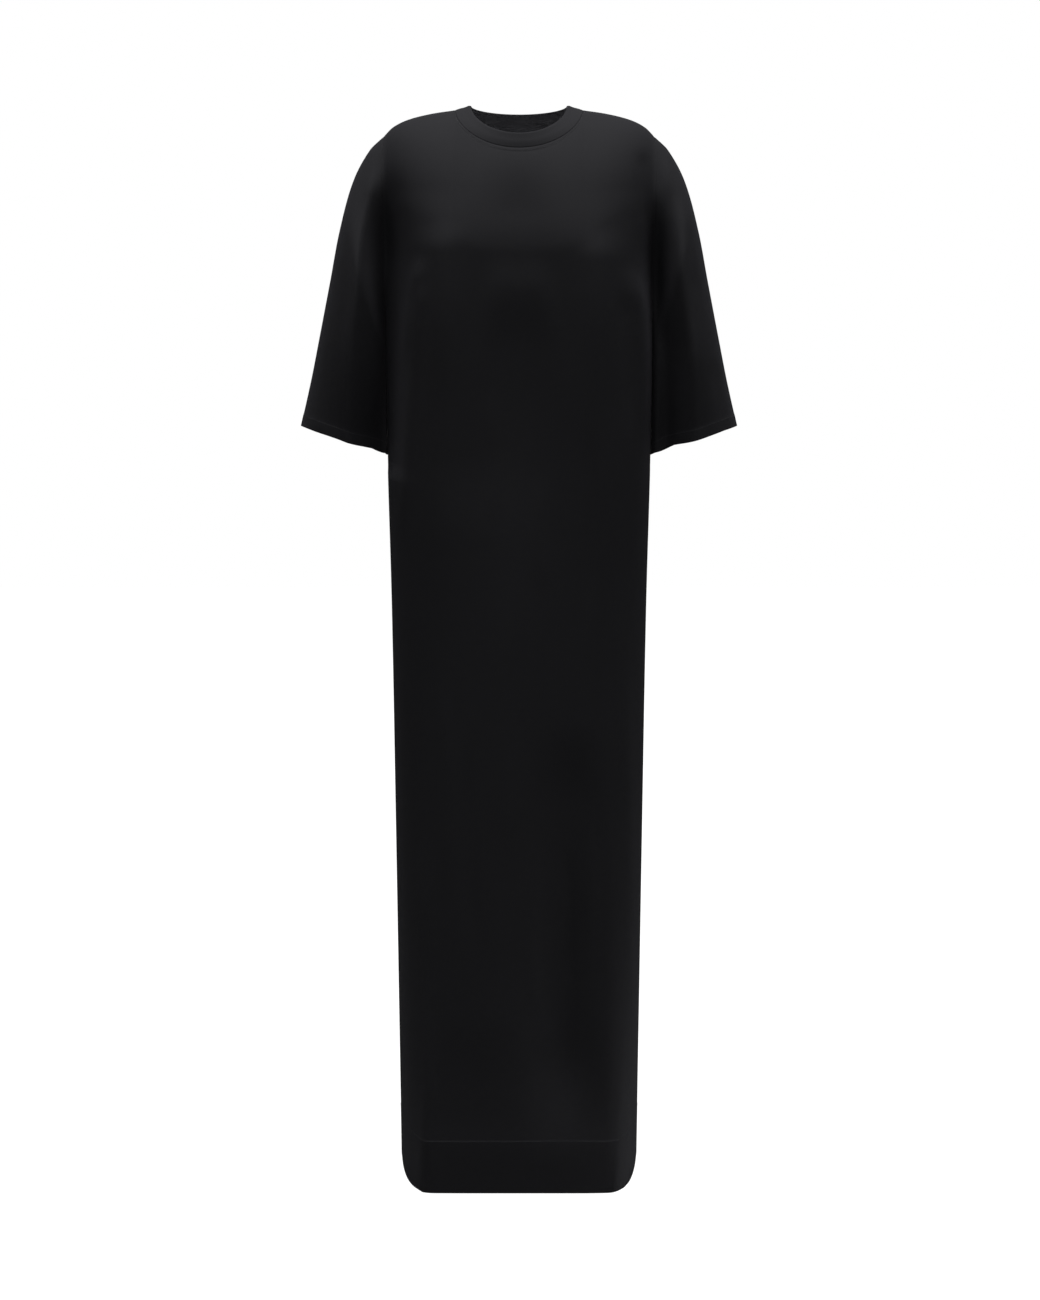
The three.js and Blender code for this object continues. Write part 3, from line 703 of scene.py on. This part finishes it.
def band_piece(material):
    """The rib band: rings from the seam up its outside, round its top edge and down its inside."""
    columns = BAND_RIBS * COLUMNS_PER_RIB
    angle = 2 * np.pi * np.arange(columns) / columns
    seam = neckline_point(angle)
    edge = band_edge(angle)
    outward = unit(np.stack([np.sin(angle), -np.cos(angle), np.full(columns, BAND_LEAN)], axis=-1))
    along = unit(edge - seam)
    start = seam + along * SEAM_GAP * 2
    crown = np.abs(np.cos(angle)) + BAND_SWELL_SIDE
    rib = RIB_HEIGHT * np.cos(2 * np.pi * np.arange(columns) / COLUMNS_PER_RIB)

    def ring_at(t, out):
        swell = crown * math.sin(math.pi * t) + relief_at("band", t)
        return start + (edge - start) * t + outward * (swell + out)[:, None]

    rings = [ring_at(t, rib * min(1.0, t / RIB_FADE)) for t in np.linspace(0.0, 1.0, 16)]
    half = BAND_CLOTH / 2
    for turn in np.radians([45, 90, 135]):
        reach = half * (math.cos(turn) * outward + math.sin(turn) * along)
        rings.append(edge - outward * half + reach + outward * (rib * math.cos(turn))[:, None])
    rings += [ring_at(t, -BAND_CLOTH - rib) for t in np.linspace(1.0, 0.0, 7)]
    return tube_object("neckband_rib", np.stack(rings), material)


def quad_object(name, points, faces, material):
    """A smooth object of four-sided faces from points in millimetres."""
    faces = np.asarray(faces, dtype=np.int32)
    mesh = bpy.data.meshes.new(name)
    mesh.vertices.add(len(points))
    mesh.vertices.foreach_set("co", (points * MM).astype(np.float32).ravel())
    mesh.loops.add(faces.size)
    mesh.loops.foreach_set("vertex_index", faces.ravel())
    mesh.polygons.add(len(faces))
    mesh.polygons.foreach_set("loop_start", np.arange(0, faces.size, 4, dtype=np.int32))
    mesh.polygons.foreach_set("use_smooth", np.ones(len(faces), dtype=bool))
    mesh.update(calc_edges=True)
    mesh.validate()
    mesh.materials.append(material)
    piece = bpy.data.objects.new(name, mesh)
    bpy.context.scene.collection.objects.link(piece)
    return piece


def tube_object(name, grid, material):
    """A ring-shaped solid: its grid is closed both ways."""
    rows, columns = grid.shape[:2]
    row = np.repeat(np.arange(rows), columns)
    column = np.tile(np.arange(columns), rows)
    next_row = (row + 1) % rows
    next_column = (column + 1) % columns
    corners = [(row, column), (row, next_column), (next_row, next_column), (next_row, column)]
    faces = np.stack([at_row * columns + at_column for at_row, at_column in corners], 1)
    return quad_object(name, grid.reshape(-1, 3), faces, material)


def stitch_faces():
    """Faces of one stitch: the sides between its rings, and two faces at each end."""
    corners = STITCH_CORNERS
    faces = []
    for ring in range(len(STITCH_RINGS) - 1):
        for corner in range(corners):
            here, beside = ring * corners + corner, ring * corners + (corner + 1) % corners
            faces.append([here, beside, beside + corners, here + corners])
    last = (len(STITCH_RINGS) - 1) * corners
    faces += [[0, 5, 4, 1], [1, 4, 3, 2]]
    faces += [[last, last + 1, last + 4, last + 5], [last + 1, last + 2, last + 3, last + 4]]
    return np.array(faces)


def stitch_row(name, line, normals, closed, material):
    """A row of stitches along a line of points, each a small rounded thread on the cloth."""
    if closed:
        line = np.concatenate([line, line[:1]])
        normals = np.concatenate([normals, normals[:1]])
    at = lengths_along(line, 0)
    count = int(at[-1] / STITCH_EVERY)
    middle = (np.arange(count) + 0.5) * at[-1] / count
    centre = rows_at(middle, at, line)
    up = unit(rows_at(middle, at, normals))
    along = unit(rows_at(middle + 0.5, at, line) - centre)
    beside = np.cross(along, up)
    points = []
    for ring in STITCH_RINGS:
        for corner in range(STITCH_CORNERS):
            turn = 2 * math.pi * corner / STITCH_CORNERS
            out = (math.cos(turn) * beside + math.sin(turn) * up) * STITCH_RADIUS * ring["size"]
            points.append(centre + along * ring["place"] * STITCH_LENGTH / 2 + out)
    points = np.stack(points, axis=1)
    starts = np.arange(count) * points.shape[1]
    faces = stitch_faces()[None, :, :] + starts[:, None, None]
    piece = quad_object(name, points.reshape(-1, 3), faces.reshape(-1, 4), material)
    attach(piece, "root")
    return piece


def new_material(name):
    material = bpy.data.materials.new(name)
    material.use_nodes = True
    nodes = material.node_tree.nodes
    nodes.clear()
    output = nodes.new("ShaderNodeOutputMaterial")
    shader = nodes.new("ShaderNodeBsdfPrincipled")
    material.node_tree.links.new(shader.outputs["BSDF"], output.inputs["Surface"])
    return material, shader


def math_node(tree, kind, *values):
    """The output of a math node whose inputs are numbers or outputs of other nodes."""
    node = tree.nodes.new("ShaderNodeMath")
    node.operation = kind
    for socket, value in zip(node.inputs, values):
        if isinstance(value, (int, float)):
            socket.default_value = value
        else:
            tree.links.new(value, socket)
    return node.outputs[0]


def noise(tree, scale, detail):
    coordinates = tree.nodes.new("ShaderNodeTexCoord")
    node = tree.nodes.new("ShaderNodeTexNoise")
    node.inputs["Scale"].default_value = scale
    node.inputs["Detail"].default_value = detail
    tree.links.new(coordinates.outputs["Object"], node.inputs["Vector"])
    return node.outputs[0]


def colour_between(tree, shader, share, dark, light):
    mix = tree.nodes.new("ShaderNodeMixRGB")
    mix.inputs[1].default_value = (*dark, 1)
    mix.inputs[2].default_value = (*light, 1)
    tree.links.new(share, mix.inputs[0])
    tree.links.new(mix.outputs[0], shader.inputs["Base Color"])


def raise_surface(tree, shader, height, strength):
    bump = tree.nodes.new("ShaderNodeBump")
    bump.inputs["Strength"].default_value = strength
    bump.inputs["Distance"].default_value = BUMP_DISTANCE
    tree.links.new(height, bump.inputs["Height"])
    tree.links.new(bump.outputs["Normal"], shader.inputs["Normal"])


def soften(shader, sheen):
    """Matt knitted cloth with a faint sheen."""
    shader.inputs["Specular IOR Level"].default_value = 0.12
    shader.inputs["Sheen Weight"].default_value = sheen
    shader.inputs["Sheen Roughness"].default_value = 0.5
    shader.inputs["Sheen Tint"].default_value = (*SHEEN_TINT, 1)


def jersey_material():
    """Black single jersey: fine columns of V stitches, a soft nap and a little unevenness in the dye."""
    material, shader = new_material("jersey_cloth")
    tree = material.node_tree
    cloth = tree.nodes.new("ShaderNodeUVMap")
    cloth.uv_map = "cloth"
    split = tree.nodes.new("ShaderNodeSeparateXYZ")
    tree.links.new(cloth.outputs["UV"], split.inputs[0])
    column = math_node(tree, "FRACT", math_node(tree, "DIVIDE", split.outputs[0], JERSEY_WALE))
    from_middle = math_node(tree, "ABSOLUTE", math_node(tree, "SUBTRACT", column, 0.5))
    out = math_node(tree, "MULTIPLY", from_middle, 2.0)
    slant = math_node(tree, "ADD", math_node(tree, "DIVIDE", split.outputs[1], JERSEY_COURSE), out)
    wave = math_node(tree, "SINE", math_node(tree, "MULTIPLY", slant, 2 * math.pi))
    from_leg = math_node(tree, "SUBTRACT", out, 0.5)
    fall = math_node(tree, "MULTIPLY", 4.0, math_node(tree, "MULTIPLY", from_leg, from_leg))
    leg = math_node(tree, "SUBTRACT", 1.0, fall)
    stitch = math_node(tree, "MULTIPLY", leg, math_node(tree, "MULTIPLY_ADD", wave, 0.25, 0.75))
    nap = math_node(tree, "MULTIPLY", noise(tree, scale=1400, detail=3), 0.5)
    raise_surface(tree, shader, math_node(tree, "ADD", stitch, nap), strength=0.35)
    tone = noise(tree, scale=9, detail=4)
    colour_between(tree, shader, tone, JERSEY_DARK, JERSEY_LIGHT)
    rough = math_node(tree, "MULTIPLY_ADD", tone, 0.1, 0.82)
    tree.links.new(rough, shader.inputs["Roughness"])
    soften(shader, sheen=0.01)
    return material


def rib_material():
    """Black rib knit for the neckband, a little more open and matt than the jersey."""
    material, shader = new_material("rib_knit")
    tree = material.node_tree
    fuzz = noise(tree, scale=1100, detail=4)
    raise_surface(tree, shader, fuzz, strength=0.4)
    colour_between(tree, shader, fuzz, RIB_DARK, RIB_LIGHT)
    shader.inputs["Roughness"].default_value = 0.9
    soften(shader, sheen=0.012)
    return material


def thread_material():
    """Black sewing thread, a little glossier than the cloth."""
    material, shader = new_material("black_thread")
    tree = material.node_tree
    twist = noise(tree, scale=2500, detail=2)
    colour_between(tree, shader, twist, THREAD_DARK, THREAD_LIGHT)
    shader.inputs["Roughness"].default_value = 0.6
    shader.inputs["Specular IOR Level"].default_value = 0.2
    return material


def add_camera():
    data = bpy.data.cameras.new("camera")
    data.lens = LENS
    camera = bpy.data.objects.new("camera", data)
    camera.location = (CAMERA_X * MM, CAMERA_Y * MM, CAMERA_Z * MM)
    camera.rotation_euler = (math.pi / 2 - CAMERA_PITCH, 0, 0)
    bpy.context.scene.collection.objects.link(camera)
    bpy.context.scene.camera = camera


def add_light(name, place, aim, size, watts):
    data = bpy.data.lights.new(name, "AREA")
    data.shape = "RECTANGLE"
    data.size, data.size_y = size
    data.energy = watts
    light = bpy.data.objects.new(name, data)
    light.location = place
    direction = Vector(aim) - Vector(place)
    light.rotation_euler = direction.to_track_quat("-Z", "Y").to_euler()
    light.visible_camera = False
    bpy.context.scene.collection.objects.link(light)


def add_world():
    """White where the camera sees it, and a dim fill for the light."""
    world = bpy.data.worlds.new("studio")
    bpy.context.scene.world = world
    world.use_nodes = True
    tree = world.node_tree
    tree.nodes.clear()
    output = tree.nodes.new("ShaderNodeOutputWorld")
    seen = tree.nodes.new("ShaderNodeBackground")
    seen.inputs[0].default_value = (1, 1, 1, 1)
    fill = tree.nodes.new("ShaderNodeBackground")
    fill.inputs[0].default_value = (*FILL_COLOUR, 1)
    fill.inputs[1].default_value = FILL_STRENGTH
    path = tree.nodes.new("ShaderNodeLightPath")
    mix = tree.nodes.new("ShaderNodeMixShader")
    tree.links.new(path.outputs["Is Camera Ray"], mix.inputs[0])
    tree.links.new(fill.outputs[0], mix.inputs[1])
    tree.links.new(seen.outputs[0], mix.inputs[2])
    tree.links.new(mix.outputs[0], output.inputs["Surface"])


def add_floor():
    """A floor that the camera sees as white, and that throws little light back."""
    mesh = bpy.data.meshes.new("floor")
    level = HEM_Z * MM - FLOOR_BELOW_HEM
    signs = [(-1, -1), (1, -1), (1, 1), (-1, 1)]
    corners = [(x * FLOOR_REACH, y * FLOOR_REACH, level) for x, y in signs]
    mesh.from_pydata(corners, [], [(0, 1, 2, 3)])
    floor = bpy.data.objects.new("floor", mesh)
    bpy.context.scene.collection.objects.link(floor)
    material, shader = new_material("pale_floor")
    shader.inputs["Base Color"].default_value = (FLOOR_GREY, FLOOR_GREY, FLOOR_GREY, 1)
    shader.inputs["Roughness"].default_value = 1
    shader.inputs["Emission Color"].default_value = (1, 1, 1, 1)
    seen = material.node_tree.nodes.new("ShaderNodeLightPath")
    material.node_tree.links.new(seen.outputs["Is Camera Ray"], shader.inputs["Emission Strength"])
    mesh.materials.append(material)


def settle(piece, node):
    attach(piece, "root")
    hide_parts(node)


add_camera()
add_world()
for light in LIGHTS:
    add_light(**light)
add_floor()
bpy.context.scene.view_settings.view_transform = "Standard"
jersey = jersey_material()
rib = rib_material()
thread = thread_material()

for side in ("front", "back"):
    piece, outer, normals = panel_piece(side, jersey)
    settle(piece, side)
    hem_row = int(np.abs(outer[:, 0, 2] - HEM_Z - HEM_DEPTH).argmin())
    stitch_row(f"{side}_hem_stitches", outer[hem_row], normals[hem_row], False, thread)
    neck = np.abs(outer[-1, :, 0]) < NECK_HALF
    down = lengths_along(outer, 0)
    stitch_at = (down[-1:] - down <= NECK_STITCH_OUT).argmax(axis=0)
    columns = np.nonzero(neck)[0]
    places = outer[stitch_at[columns], columns]
    stitch_row(f"{side}_neck_stitches", places, normals[stitch_at[columns], columns], False, thread)

for hand, left in (("left", True), ("right", False)):
    piece, outer, hem, hem_normals = sleeve_piece(f"{hand}_sleeve_cloth", left, jersey)
    settle(piece, f"sleeve_{hand}")
    stitch_row(f"{hand}_sleeve_stitches", hem, hem_normals, True, thread)

band = band_piece(rib)
settle(band, "neckband")
